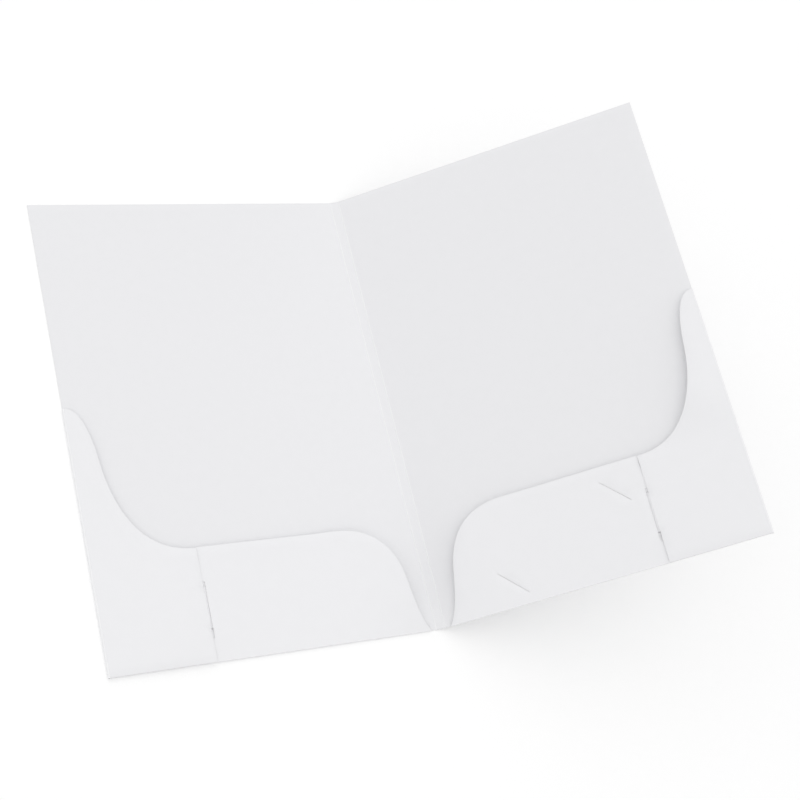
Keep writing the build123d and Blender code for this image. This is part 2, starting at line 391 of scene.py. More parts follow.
def board_panel(outline, joined, holes, level, top, lift=None, inner=()):
    """Panel of board: vertices, faces and the surface that each face belongs to.

    Cut edges are rounded, and edges that are joined to other board stay square. The outline and
    the points inside it are shared by both faces, so a lift bends the panel and keeps its thickness.
    Points of a finer bend inside the outline can be given besides the even ones.
    """
    board = bpy.context.scene.folder_board
    step, thick, round_ = board.mesh_step, board.thickness, board.edge_round
    half_way = round_ * (1 - sin(pi / 4))
    levels = [(round_, 0.0), (half_way, half_way), (0.0, round_)]
    levels += [(d, thick - z) for d, z in reversed(levels)]
    vertices, faces, kinds, flat, constraints = [], [], [], [], []
    bottom, above = {}, {}
    loops = [divided(outline, joined, step)]
    loops += [divided(hole, [False] * len(hole), step) for hole in holes]
    for points, flags in loops:
        count, first = len(points), len(vertices)
        for distance, height in levels:
            ring = inset(points, [0.0 if flag else distance for flag in flags])
            vertices += [(p.x, p.y, height) for p in ring]
        for k in range(len(levels) - 1):
            for i in range(count):
                j = (i + 1) % count
                low, high = first + k * count, first + (k + 1) * count
                faces.append((low + i, low + j, high + j, high + i))
                kinds.append(CUT)
        start = len(flat)
        for i, p in enumerate(inset(points, [0.0 if flag else round_ for flag in flags])):
            bottom[start + i] = first + i
            above[start + i] = first + (len(levels) - 1) * count + i
            flat.append(p)
        constraints += [(start + i, start + (i + 1) % count) for i in range(count)]
    rim, holes_cut = loops[0][0], [points for points, _ in loops[1:]]
    for p in [Vector(p) for p in inner] + even_points(rim, holes_cut, step):
        bottom[len(flat)], above[len(flat)] = len(vertices), len(vertices) + 1
        vertices += [(p.x, p.y, 0.0), (p.x, p.y, thick)]
        flat.append(p)
    _, _, triangles, origin, _, _ = delaunay_2d_cdt(flat, constraints, [], KEEP_INSIDE, PLAN_WELD)
    for triangle in triangles:
        corners = [origin[i][0] for i in triangle]
        middle = sum((flat[i] for i in corners), Vector((0, 0))) / len(corners)
        if not on_board(middle, rim, holes_cut):
            continue
        a, b, c = (flat[i] for i in corners)
        if (b - a).cross(c - a) < 0:
            corners.reverse()
        faces += [[above[i] for i in corners], [bottom[i] for i in reversed(corners)]]
        kinds += [top, INSIDE if top == OUTSIDE else OUTSIDE]
    raised = [(x, y, z + level + (lift(x, y) if lift else 0.0)) for x, y, z in vertices]
    return raised, faces, kinds


def add_piece(mesh, node_names, body, blend_ends=None):
    """Put a finished mesh in the scene: it stands for its CAD nodes, and a piece on one body moves with
    that body.

    A piece that bends between two bodies is passed both, and the places where each would take hold; these
    are not used, and the piece stays where it is made.
    """
    mesh.validate()
    mesh.update()
    mesh.shade_smooth()
    mesh.set_sharp_from_angle(angle=SHARP_TURN)
    piece = bpy.data.objects.new(mesh.name, mesh)
    bpy.context.scene.collection.objects.link(piece)
    if blend_ends:
        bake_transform(piece)
    else:
        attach(piece, body)
    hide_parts(*node_names)


def placed_mesh(name, shape, seat, finishes):
    """Mesh of a shape made lying flat, carried to its seat with its faces turned outwards."""
    vertices, faces, kinds = shape
    mesh = bpy.data.meshes.new(name)
    mirrored = seat.determinant() < 0
    mesh.from_pydata([seat @ Vector(v) for v in vertices], [],
                     [tuple(reversed(f)) if mirrored else tuple(f) for f in faces])
    for finish in finishes:
        mesh.materials.append(finish)
    mesh.polygons.foreach_set("material_index", kinds)
    return mesh


def add_node(tree, kind, links=None, **settings):
    """Add a node with its settings, and its inputs' links or values."""
    node = tree.nodes.new(kind)
    for key, value in settings.items():
        setattr(node, key, value)
    for socket, value in (links or {}).items():
        if isinstance(value, bpy.types.NodeSocket):
            tree.links.new(value, node.inputs[socket])
        else:
            node.inputs[socket].default_value = value
    return node


def board_finish(name, tint, cloud, cloud_size, tooth_size, tooth_depth, roughness, roughness_swing):
    """White board: cloudy pulp in the colour, and the tooth of its surface in gloss and relief."""
    found = bpy.data.materials.get(name)
    if found:
        return found
    finish = bpy.data.materials.new(name)
    finish.use_nodes = True
    finish.diffuse_color = tint
    tree = finish.node_tree
    shader = tree.nodes["Principled BSDF"]
    where = add_node(tree, "ShaderNodeTexCoord").outputs["Object"]
    clouds = add_node(tree, "ShaderNodeTexNoise", {"Vector": where, "Scale": 1 / cloud_size,
                                                   "Detail": 3.0, "Roughness": 0.5})
    # sockets 6 and 7 of a mix are its two colours, and its output 2 is the mixed one
    tints = add_node(tree, "ShaderNodeMix", {0: clouds.outputs["Fac"], 6: tuple(tint), 7: tuple(cloud)},
                     data_type="RGBA")
    tooth = add_node(tree, "ShaderNodeTexNoise", {"Vector": where, "Scale": 1 / tooth_size,
                                                  "Detail": 4.0, "Roughness": 0.65})
    gloss = add_node(tree, "ShaderNodeMapRange", {"Value": tooth.outputs["Fac"],
                                                  "To Min": roughness - roughness_swing,
                                                  "To Max": roughness + roughness_swing})
    relief = add_node(tree, "ShaderNodeBump", {"Height": tooth.outputs["Fac"], "Distance": tooth_depth,
                                               "Strength": 1.0})
    for socket, value in (("Base Color", tints.outputs[2]), ("Roughness", gloss.outputs["Result"]),
                          ("Normal", relief.outputs["Normal"])):
        tree.links.new(value, shader.inputs[socket])
    shader.inputs["IOR"].default_value = 1.5
    return finish


def board_finishes():
    """Materials of the board's outside, inside and cut edges, in the order of the slots."""
    look = bpy.context.scene.folder_look
    # Matt-coated board, calendered: a very even white with a soft satin sheen. The coating lies in
    # clouds about 9 mm across. Its real tooth of 0.1 mm is too fine to show, so it is drawn at 0.5 mm.
    outside = board_finish("matt_coated_board_calendered", look.outside, look.outside_cloud,
                           cloud_size=9 * MM, tooth_size=0.5 * MM, tooth_depth=0.004 * MM,
                           roughness=0.5, roughness_swing=0.05)
    # Uncoated board, machine finished: a little greyer and quite matt, with the cloudy look of pulp.
    # Its fibres are about 0.2 mm apart and are drawn at 0.7 mm, so that they show at all.
    inside = board_finish("uncoated_board_machine_finished", look.inside, look.inside_cloud,
                          cloud_size=6 * MM, tooth_size=0.7 * MM, tooth_depth=0.01 * MM,
                          roughness=0.7, roughness_swing=0.06)
    # Board cut by a steel rule: torn fibres, a touch warmer and with hardly any sheen.
    cut = board_finish("die_cut_board_edge", look.cut_edge, look.inside_cloud,
                       cloud_size=1.5 * MM, tooth_size=0.3 * MM, tooth_depth=0.02 * MM,
                       roughness=0.9, roughness_swing=0.05)
    return outside, inside, cut


def scored_finishes():
    """The same surfaces along folds and creases."""
    look = bpy.context.scene.folder_look
    # Scored and folded coating: pressed smoother than the sheet. Its paler colour is a painted highlight on
    # the rounded rims of the folds.
    scored = board_finish("matt_coated_board_scored", look.fold, look.outside,
                          cloud_size=2.5 * MM, tooth_size=0.4 * MM, tooth_depth=0.006 * MM,
                          roughness=0.42, roughness_swing=0.08)
    # Scored pulp: its fibres are pressed flat, which gives a faint sheen. Its paler colour is a painted
    # highlight along the crease beads.
    pressed = board_finish("uncoated_board_scored", look.crease, look.inside,
                           cloud_size=2.5 * MM, tooth_size=0.5 * MM, tooth_depth=0.008 * MM,
                           roughness=0.55, roughness_swing=0.08)
    return scored, pressed, board_finishes()[CUT]


def new_tree(name, sizes):
    """An empty Geometry Nodes tree with named inputs, its group input and its group output."""
    tree = bpy.data.node_groups.new(name, "GeometryNodeTree")
    for label, kind in sizes.items():
        tree.interface.new_socket(label, in_out="INPUT", socket_type=kind)
    tree.interface.new_socket("Geometry", in_out="OUTPUT", socket_type="NodeSocketGeometry")
    return tree, add_node(tree, "NodeGroupInput").outputs, add_node(tree, "NodeGroupOutput")


def thicken(tree, given, sheet, out):
    """Last part of a tree: a sheet that faces into the board becomes closed board, with its materials."""
    solid = add_node(tree, "GeometryNodeExtrudeMesh", {"Mesh": sheet, "Offset Scale": given["Thickness"],
                                                       "Individual": False})
    back = add_node(tree, "GeometryNodeFlipFaces", {"Mesh": sheet})
    both = add_node(tree, "GeometryNodeJoinGeometry")
    tree.links.new(solid.outputs["Mesh"], both.inputs["Geometry"])
    tree.links.new(back.outputs["Mesh"], both.inputs["Geometry"])
    closed = add_node(tree, "GeometryNodeMergeByDistance", {"Geometry": both.outputs["Geometry"],
                                                            "Distance": WELD_DISTANCE})
    made = add_node(tree, "GeometryNodeRealizeInstances", {"Geometry": closed.outputs["Geometry"]})
    near = add_node(tree, "GeometryNodeSetMaterial", {"Geometry": made.outputs["Geometry"],
                                                      "Material": given["Near material"]})
    far = add_node(tree, "GeometryNodeSetMaterial", {"Geometry": near.outputs["Geometry"],
                                                     "Selection": solid.outputs["Top"],
                                                     "Material": given["Far material"]})
    rim = add_node(tree, "GeometryNodeSetMaterial", {"Geometry": far.outputs["Geometry"],
                                                     "Selection": solid.outputs["Side"],
                                                     "Material": given["Cut material"]})
    tree.links.new(rim.outputs["Geometry"], out.inputs["Geometry"])


BOARD_INPUTS = {
    "Length": "NodeSocketFloat",
    "Thickness": "NodeSocketFloat",
    "Steps": "NodeSocketInt",
    "Rows": "NodeSocketInt",
    "Near material": "NodeSocketMaterial",
    "Far material": "NodeSocketMaterial",
    "Cut material": "NodeSocketMaterial",
}


def sheet_shares(tree, given):
    """A unit grid, and for its points their share of the way across and along it."""
    grid = add_node(tree, "GeometryNodeMeshGrid", {"Size X": 1.0, "Size Y": 1.0,
                                                   "Vertices X": given["Steps"],
                                                   "Vertices Y": given["Rows"]})
    position = add_node(tree, "GeometryNodeInputPosition").outputs["Position"]
    where = add_node(tree, "ShaderNodeSeparateXYZ", {"Vector": position})
    # the grid lies about its middle, so half its size is added to each
    across = add_node(tree, "ShaderNodeMath", {0: where.outputs["X"], 1: 0.5}).outputs[0]
    along = add_node(tree, "ShaderNodeMath", {0: where.outputs["Y"], 1: 0.5}).outputs[0]
    return grid.outputs["Mesh"], across, along


def rounded_fold_tree():
    """Fold swept along a line on +Y: an arc from straight down, round +X, to the flap."""
    name = "Rounded fold"
    if name in bpy.data.node_groups:
        return bpy.data.node_groups[name]
    tree, given, out = new_tree(name, {"Radius": "NodeSocketFloat", "Arc": "NodeSocketFloat",
                                       **BOARD_INPUTS})
    grid, across, along = sheet_shares(tree, given)
    turn = add_node(tree, "ShaderNodeMath", {0: across, 1: given["Arc"], 2: -pi / 2},
                    operation="MULTIPLY_ADD")
    reach = add_node(tree, "ShaderNodeMath", {0: turn.outputs[0]}, operation="COSINE")
    rise = add_node(tree, "ShaderNodeMath", {0: turn.outputs[0]}, operation="SINE")
    out_by = add_node(tree, "ShaderNodeMath", {0: reach.outputs[0], 1: given["Radius"]},
                      operation="MULTIPLY")
    up_by = add_node(tree, "ShaderNodeMath", {0: rise.outputs[0], 1: given["Radius"]},
                     operation="MULTIPLY")
    run = add_node(tree, "ShaderNodeMath", {0: along, 1: given["Length"]}, operation="MULTIPLY")
    point = add_node(tree, "ShaderNodeCombineXYZ", {"X": out_by.outputs[0], "Y": run.outputs[0],
                                                    "Z": up_by.outputs[0]})
    sheet = add_node(tree, "GeometryNodeSetPosition", {"Geometry": grid, "Position": point.outputs[0]})
    thicken(tree, given, sheet.outputs["Geometry"], out)
    return tree


def scored_crease_tree():
    """Crease swept along a line on +Y: a low bead across a strip that bends up on its +X side."""
    name = "Scored crease"
    if name in bpy.data.node_groups:
        return bpy.data.node_groups[name]
    tree, given, out = new_tree(name, {"Reach": "NodeSocketFloat", "Play": "NodeSocketFloat",
                                       "Bead height": "NodeSocketFloat", "Bend": "NodeSocketFloat",
                                       "Start": "NodeSocketFloat", **BOARD_INPUTS})
    grid, across, along = sheet_shares(tree, given)
    wide = add_node(tree, "ShaderNodeMath", {0: given["Reach"], 1: 2.0, 2: given["Play"]},
                    operation="MULTIPLY_ADD")
    off = add_node(tree, "ShaderNodeMath", {0: across, 1: wide.outputs[0], 2: given["Start"]},
                   operation="MULTIPLY_ADD")
    far = add_node(tree, "ShaderNodeMath", {0: off.outputs[0]}, operation="ABSOLUTE")
    bead = add_node(tree, "ShaderNodeMapRange", {"Value": far.outputs[0], "From Min": 0.0,
                                                 "From Max": given["Reach"], "To Min": given["Bead height"],
                                                 "To Max": 0.0}, interpolation_type="SMOOTHSTEP")
    run = add_node(tree, "ShaderNodeMath", {0: along, 1: given["Length"]}, operation="MULTIPLY")
    point = add_node(tree, "ShaderNodeCombineXYZ", {"X": off.outputs[0], "Y": run.outputs[0],
                                                    "Z": bead.outputs["Result"]})
    ease = add_node(tree, "ShaderNodeMapRange", {"Value": across, "To Min": 0.0, "To Max": given["Bend"]},
                    interpolation_type="SMOOTHSTEP")
    bent = add_node(tree, "ShaderNodeVectorRotate", {"Vector": point.outputs[0], "Axis": (0.0, -1.0, 0.0),
                                                     "Angle": ease.outputs["Result"]})
    sheet = add_node(tree, "GeometryNodeSetPosition", {"Geometry": grid, "Position": bent.outputs[0]})
    facing = add_node(tree, "GeometryNodeFlipFaces", {"Mesh": sheet.outputs["Geometry"]})
    thicken(tree, given, facing.outputs["Mesh"], out)
    return tree


def tree_mesh(name, tree, values, seat):
    """Plain mesh of a tree with these inputs, carried to its seat."""
    blank = bpy.data.meshes.new(tree.name)
    holder = bpy.data.objects.new(tree.name, blank)
    bpy.context.scene.collection.objects.link(holder)
    modifier = holder.modifiers.new(tree.name, "NODES")
    modifier.node_group = tree
    sockets = {s.name: s.identifier for s in tree.interface.items_tree if s.in_out == "INPUT"}
    for label, value in values.items():
        modifier[sockets[label]] = value
    graph = bpy.context.evaluated_depsgraph_get()
    mesh = bpy.data.meshes.new_from_object(holder.evaluated_get(graph), depsgraph=graph)
    bpy.data.objects.remove(holder)
    bpy.data.meshes.remove(blank)
    mesh.name = name
    if not mesh.polygons:
        raise RuntimeError(f"{tree.name} made no faces for {name}")
    mesh.transform(seat)
    if seat.determinant() < 0:
        mesh.flip_normals()
    return mesh


def cover_outline():
    """Outline of a flat cover, cut back to its folds, and which of its edges are joined to board."""
    board, flaps = bpy.context.scene.folder_board, bpy.context.scene.folder_flaps
    nick = flaps.side_height + board.fold_relief
    tail = flaps.tail_inset - board.fold_relief
    steps = [
        ((board.crease_reach, board.cut_setback), False),
        ((tail, board.cut_setback), False),
        ((tail, BOTTOM_FOLD_RADIUS), False),
        ((flaps.tail_inset, BOTTOM_FOLD_RADIUS), True),
        (at(SIDE_FOLD_RADIUS, BOTTOM_FOLD_RADIUS), True),
        (at(SIDE_FOLD_RADIUS, flaps.side_height), False),
        (at(SIDE_FOLD_RADIUS, nick), False),
        (at(board.cut_setback, nick), False),
        (at(board.cut_setback, COVER_HEIGHT), False),
        ((board.crease_reach, COVER_HEIGHT), True),
    ]
    return [p for p, _ in steps], [joined for _, joined in steps]


def side_flap_outline():
    """Outline of a flat side flap: the hump, the sweep down to the seam, the seam and the foot."""
    flaps, lock = bpy.context.scene.folder_flaps, bpy.context.scene.folder_lock
    root, top = SIDE_FOLD_RADIUS + flaps.fold_play, flaps.side_height
    turn, turn_height = flaps.side_shoulder_reach, flaps.side_shoulder_height
    throat = flaps.bottom_height - flaps.mouth_step
    hump_reach = (turn - root) * flaps.hump_handle
    hump_drop = (top - turn_height) * flaps.hump_handle
    sweep_drop = (turn_height - throat) * flaps.sweep_handle
    sweep_reach = (flaps.side_reach - turn) * flaps.sweep_handle
    points = curve(at(root, top), at(root + hump_reach, top),
                   at(turn - flaps.side_lean * hump_drop, turn_height + hump_drop),
                   at(turn, turn_height), SHORT_CURVE)
    points += curve(at(turn, turn_height),
                    at(turn + flaps.side_lean * sweep_drop, turn_height - sweep_drop),
                    at(flaps.side_reach - sweep_reach, throat), at(flaps.side_reach, throat), LONG_CURVE)
    joined = [False] * len(points)
    points += [
        at(flaps.side_reach, throat),
        at(flaps.side_reach, lock.tongue_foot + lock.tongue_width),
        at(flaps.side_reach, lock.tongue_foot),
        at(flaps.side_reach, flaps.side_foot),
        at(root, flaps.side_foot),
    ]
    return points, joined + [False, True, False, False, True]


def bottom_flap_outline():
    """Outline of a flat bottom flap: the fold, the mitred ear, the seam, the mouth and its tail."""
    flaps = bpy.context.scene.folder_flaps
    root, height = BOTTOM_FOLD_RADIUS, flaps.bottom_height
    level_end, turn = flaps.mouth_level_end, flaps.mouth_shoulder_inset
    turn_height, tail = flaps.mouth_shoulder_height, flaps.tail_inset
    seam = flaps.side_reach + flaps.seam_gap
    mouth_reach = (level_end - turn) * flaps.mouth_handle
    mouth_drop = (height - turn_height) * flaps.mouth_handle
    tail_drop = (turn_height - root) * flaps.tail_drop
    tail_run = (turn - tail) * flaps.tail_run
    tail_rise = (turn_height - root) * flaps.tail_rise
    points = [
        (tail, root),
        at(SIDE_FOLD_RADIUS + flaps.corner_room, root),
        at(seam, seam - flaps.mitre_offset),
        at(seam, height),
    ]
    joined = [True, False, False, False]
    bends = curve((level_end, height), (level_end - mouth_reach, height),
                  (turn + flaps.mouth_lean * mouth_drop, turn_height + mouth_drop),
                  (turn, turn_height), LONG_CURVE)
    bends += curve((turn, turn_height), (turn - flaps.mouth_lean * tail_drop, turn_height - tail_drop),
                   (tail + tail_run, root + tail_rise), (tail, root), SHORT_CURVE)
    return points + bends, joined + [False] * len(bends)


def lock_slot():
    """Outline of the slot beside the seam, clockwise."""
    flaps, lock = bpy.context.scene.folder_flaps, bpy.context.scene.folder_lock
    near, far = flaps.side_reach, flaps.side_reach + lock.slot_width
    low = lock.tongue_foot - lock.slot_play_below
    high = lock.tongue_foot + lock.tongue_width + lock.slot_play_above
    return [at(near, low), at(far, low), at(far, high), at(near, high)]


def card_slits():
    """Outlines of the two slanted slits at opposite corners of a card, clockwise."""
    flaps, lock = bpy.context.scene.folder_flaps, bpy.context.scene.folder_lock
    far = COVER_WIDTH - flaps.side_reach - lock.card_from_seam + lock.card_margin
    near = far - lock.card_length - 2 * lock.card_margin
    low = lock.card_from_bottom - lock.card_margin
    high = lock.card_from_bottom + lock.card_height + lock.card_margin
    slits = []
    for start, end in (((near, low + lock.slit_leg), (near + lock.slit_leg, low)),
                       ((far, high - lock.slit_leg), (far - lock.slit_leg, high))):
        start, end = Vector(start), Vector(end)
        along = (end - start).normalized()
        beside = Vector((-along.y, along.x)) * lock.slit_width
        slits.append([start, start + beside, end + beside, end])
    return slits


def built_up(reach, bend):
    """Share of a rise that is reached this far from a fold: none at the fold, then soon all of it."""
    reach = max(reach, 0.0)
    return reach * reach / (reach * reach + bend * bend)


def bottom_lift(curl_run):
    """How far a bottom flap curls off its plane: only at its free end by the spine."""
    flaps = bpy.context.scene.folder_flaps

    def lift(x, y):
        turn = smooth((flaps.end_curl_start - x) / curl_run) * (pi - POCKET_GAPE)
        reach = max(y - BOTTOM_FOLD_RADIUS, 0.0)
        return turn * reach * flaps.end_curl_bend / (reach + flaps.end_curl_bend)

    return lift


def seam_drop(y):
    """How far the side flap's edge at the seam hangs under its plane, to lie on the bottom flap."""
    board, flaps, lock = (bpy.context.scene.folder_board, bpy.context.scene.folder_flaps,
                          bpy.context.scene.folder_lock)
    tongue_top = lock.tongue_foot + lock.tongue_width
    side_run, bottom_run = flaps.side_reach - SIDE_FOLD_RADIUS, y - BOTTOM_FOLD_RADIUS
    room = flaps.seam_room + max(side_run - bottom_run, 0.0) * tan(POCKET_PRESS)
    room += flaps.seam_top_room * smooth((y - tongue_top) / (flaps.bottom_height - tongue_top))
    side_under = 2 * SIDE_FOLD_RADIUS - board.thickness + side_run * tan(POCKET_GAPE)
    bottom_top = 2 * BOTTOM_FOLD_RADIUS + bottom_run * tan(POCKET_GAPE)
    return side_under - bottom_top - room


def side_lift(curl):
    """How far a side flap leaves its plane: up along its free edge, and down at the seam."""
    flaps = bpy.context.scene.folder_flaps

    def lift(x, y):
        reach = COVER_WIDTH - SIDE_FOLD_RADIUS - x
        up = smooth((y - flaps.bottom_height) / flaps.hump_curl_run)
        # the foot comes down evenly, and higher up only the strip by the seam bends down
        power = 1 + flaps.seam_bend * smooth(y / flaps.foot_hug)
        pulled = max(reach, 0.0) / (flaps.side_reach - SIDE_FOLD_RADIUS)
        drop = seam_drop(min(y, flaps.bottom_height)) * pulled ** power
        return curl * up * built_up(reach, flaps.hump_curl_bend) - drop

    return lift


def tongue_lift(seam_x, root):
    """How high a tongue lies: its neck dives through the slot, the rest is under the bottom flap."""
    board, lock = bpy.context.scene.folder_board, bpy.context.scene.folder_lock
    low, high, half_nick = lock.tongue_foot, lock.tongue_foot + lock.tongue_width, lock.tongue_nick / 2
    flat_z = 2 * SIDE_FOLD_RADIUS - board.thickness
    under_z = 2 * BOTTOM_FOLD_RADIUS - 2 * board.thickness - lock.tongue_clearance

    def lift(x, y):
        tucked = under_z + (y - BOTTOM_FOLD_RADIUS) * tan(POCKET_GAPE)
        if not low - half_nick < y < high + half_nick:
            return tucked
        seam = side_swing() @ Vector((seam_x, y, flat_z - seam_drop(y)))
        return seam.z + (tucked - seam.z) * smooth((seam_x - x) / (seam_x - root))

    return lift


def tongue_outline(neck, rows):
    """Outline of a flat tongue: its neck from the seam, an ear past each end of the slot, and its tip."""
    lock = bpy.context.scene.folder_lock
    seam_x, root, nick, tuck = neck[0], neck[-1], lock.tongue_nick, lock.tongue_tuck
    low, high = lock.tongue_foot, lock.tongue_foot + lock.tongue_width
    foot = low - lock.slot_play_below - lock.tongue_ear
    head = high + lock.slot_play_above + lock.tongue_ear
    tip, shoulder, corner = root - tuck, root - tuck * lock.tongue_shoulder, tuck * lock.tongue_corner
    points = [*((seam_x, y) for y in rows), *((x, high) for x in neck)]
    points += [(root, high + nick), (seam_x, high + nick), (seam_x, head)]
    points += curve((shoulder, head), (tip, head), (tip, head), (tip, head - corner), CORNER_CURVE)
    points.append((tip, head - corner))
    points += curve((tip, foot + corner), (tip, foot), (tip, foot), (shoulder, foot), CORNER_CURVE)
    points += [(shoulder, foot), (seam_x, foot), (seam_x, low - nick), (root, low - nick)]
    points += [(x, low) for x in reversed(neck[1:])]
    return points, [True] * len(rows) + [False] * (len(points) - len(rows))


def swung(shape, swing):
    """A shape of the flat half, turned about a fold."""
    vertices, faces, kinds = shape
    return [swing @ Vector(v) for v in vertices], faces, kinds


class FOLDER_OT_cover_panels(bpy.types.Operator):
    """Make both cover panels, with rounded cut edges that run into the folds."""

    bl_idname = "folder.cover_panels"
    bl_label = "Cover panels"

    def execute(self, context):
        for side in SIDES:
            shape = board_panel(*cover_outline(), [], 0.0, INSIDE)
            mesh = placed_mesh(f"{side}_cover_board", shape, half_place(side), board_finishes())
            add_piece(mesh, [f"{side}_cover"], f"{side}_cover")
        return {"FINISHED"}


class FOLDER_OT_spine_panel(bpy.types.Operator):
    """Make the narrow spine panel between the two creases."""

    bl_idname = "folder.spine_panel"
    bl_label = "Spine panel"

    def execute(self, context):
        board = context.scene.folder_board
        near = board.crease_reach + board.crease_play
        far = SPINE_WIDTH - near
        low, high = board.cut_setback, COVER_HEIGHT
        outline = [(near, low), (far, low), (far, high), (near, high)]
        shape = board_panel(outline, [False, True, False, True], [], -board.thickness, INSIDE)
        mesh = placed_mesh("spine_board", shape, spine_place(LEFT_CREASE), board_finishes())
        add_piece(mesh, ["spine"], "spine")
        return {"FINISHED"}


class FOLDER_OT_spine_creases(bpy.types.Operator):
    """Make the two scored creases, which bend between a cover and the spine."""

    bl_idname = "folder.spine_creases"
    bl_label = "Spine creases"

    def execute(self, context):
        board = context.scene.folder_board
        scored, pressed, cut = scored_finishes()
        run = COVER_HEIGHT - board.cut_setback
        values = {
            "Reach": board.crease_reach,
            "Play": board.crease_play,
            "Bead height": board.bead_height,
            "Bend": CREASE_BEND,
            "Length": run,
            "Thickness": board.thickness,
            "Steps": board.crease_steps + 1,
            "Rows": ceil(run / board.mesh_step) + 1,
            "Near material": pressed,
            "Far material": scored,
            "Cut material": cut,
        }
        rise = Matrix.Translation((0, board.cut_setback, 0))
        bend = Matrix.Rotation(-CREASE_BEND, 4, "Y")
        flat = Matrix.Translation((LEFT_CREASE.x, FOOT_LINE, LEFT_CREASE.z))
        for side, seat, pair, start in (
            ("left", flat, ("left_cover", "spine"), -board.crease_reach),
            ("right", spine_place(RIGHT_CREASE), ("spine", "right_cover"),
             -board.crease_reach - board.crease_play),
        ):
            mesh = tree_mesh(f"{side}_crease_strip", scored_crease_tree(), {**values, "Start": start},
                             seat @ rise)
            end = start + 2 * board.crease_reach + board.crease_play
            ends = (seat @ Vector((start, 0, 0)), seat @ bend @ Vector((end, 0, 0)))
            add_piece(mesh, [f"{side}_spine_crease"], pair, ends)
        return {"FINISHED"}


class FOLDER_OT_rounded_folds(bpy.types.Operator):
    """Make the rounded folds along the foot and the outer edge."""

    bl_idname = "folder.rounded_folds"
    bl_label = "Rounded folds"

    def execute(self, context):
        board, flaps = context.scene.folder_board, context.scene.folder_flaps
        scored, pressed, cut = scored_finishes()
        values = {
            "Arc": pi - POCKET_GAPE,
            "Thickness": board.thickness,
            "Steps": board.fold_steps + 1,
            "Near material": scored,
            "Far material": pressed,
            "Cut material": cut,
        }
        foot_run = COVER_WIDTH - flaps.tail_inset - SIDE_FOLD_RADIUS - flaps.corner_room
        edge_run = flaps.side_height - flaps.side_foot
        foot = Matrix.Translation((flaps.tail_inset, BOTTOM_FOLD_RADIUS, BOTTOM_FOLD_RADIUS))
        edge = Matrix.Translation((COVER_WIDTH - SIDE_FOLD_RADIUS, flaps.side_foot, SIDE_FOLD_RADIUS))
        folds = {
            "bottom": (BOTTOM_FOLD_RADIUS, foot_run, foot @ Matrix.Rotation(-pi / 2, 4, "Z")),
            "side": (SIDE_FOLD_RADIUS, edge_run, edge),
        }
        for side in SIDES:
            for fold, (radius, run, line) in folds.items():
                sizes = {"Radius": radius, "Length": run, "Rows": ceil(run / board.mesh_step) + 1}
                seat = half_place(side) @ line
                mesh = tree_mesh(f"{side}_{fold}_fold_strip", rounded_fold_tree(), {**values, **sizes},
                                 seat)
                ends = (seat @ Vector((0, 0, -radius)), seat @ Vector((0, 0, radius * cos(POCKET_GAPE))))
                add_piece(mesh, [f"{side}_{fold}_fold"],
                          (f"{side}_cover", f"{side}_{fold}_flap"), ends)
        return {"FINISHED"}


class FOLDER_OT_side_flaps(bpy.types.Operator):
    """Make the side flaps with their S-shaped edge."""

    bl_idname = "folder.side_flaps"
    bl_label = "Side flaps"

    def execute(self, context):
        level = 2 * SIDE_FOLD_RADIUS - context.scene.folder_board.thickness
        flaps = context.scene.folder_flaps
        for side, curl in (("left", flaps.left_hump_curl), ("right", flaps.right_hump_curl)):
            shape = board_panel(*side_flap_outline(), [], level, OUTSIDE, side_lift(curl))
            shape = swung(shape, side_swing())
            mesh = placed_mesh(f"{side}_side_flap_board", shape, half_place(side), board_finishes())
            add_piece(mesh, [f"{side}_side_flap"], f"{side}_side_flap")
        return {"FINISHED"}


class FOLDER_OT_bottom_flaps(bpy.types.Operator):
    """Make the bottom flaps with their lock slots, and the card slits in the right one."""

    bl_idname = "folder.bottom_flaps"
    bl_label = "Bottom flaps"

    def execute(self, context):
        level = 2 * BOTTOM_FOLD_RADIUS - context.scene.folder_board.thickness
        flaps = context.scene.folder_flaps
        start = flaps.end_curl_start
        for side, curl_run in (("left", flaps.left_curl_run), ("right", flaps.right_curl_run)):
            holes = [lock_slot()] + (card_slits() if side == "right" else [])
            shape = board_panel(*bottom_flap_outline(), holes, level, OUTSIDE, bottom_lift(curl_run))
            shape = swung(shape, bottom_swing())
            seat = half_place(side)
            mesh = placed_mesh(f"{side}_bottom_flap_board", shape, seat, board_finishes())
            # the ends span the curl, from where it is full to where it starts
            ends = (seat @ Vector((start - curl_run, 0, 0)), seat @ Vector((start, 0, 0)))
            add_piece(mesh, [f"{side}_bottom_flap"],
                      (f"{side}_cover", f"{side}_bottom_flap"), ends)
        return {"FINISHED"}


class FOLDER_OT_lock_tongues(bpy.types.Operator):
    """Make the tongues that dive from the seam through the slots and lie under the bottom flaps."""

    bl_idname = "folder.lock_tongues"
    bl_label = "Lock tongues"

    def execute(self, context):
        flaps, lock = context.scene.folder_flaps, context.scene.folder_lock
        seam_x = COVER_WIDTH - flaps.side_reach
        root = seam_x - lock.slot_width - context.scene.folder_board.thickness / 2
        neck = [seam_x + (root - seam_x) * k / NECK_STEPS for k in range(NECK_STEPS + 1)]
        rows = [lock.tongue_foot + lock.tongue_width * k / NECK_ROWS for k in range(NECK_ROWS)]
        inner = [(x, y) for x in neck[1:] for y in rows[1:]]
        lift = tongue_lift(seam_x, root)
        shape = board_panel(*tongue_outline(neck, rows), [], 0.0, OUTSIDE, lift, inner)
        for side in SIDES:
            mesh = placed_mesh(f"{side}_tongue_board", shape, half_place(side), board_finishes())
            add_piece(mesh, [f"{side}_lock_tongue"], f"{side}_side_flap")
        return {"FINISHED"}


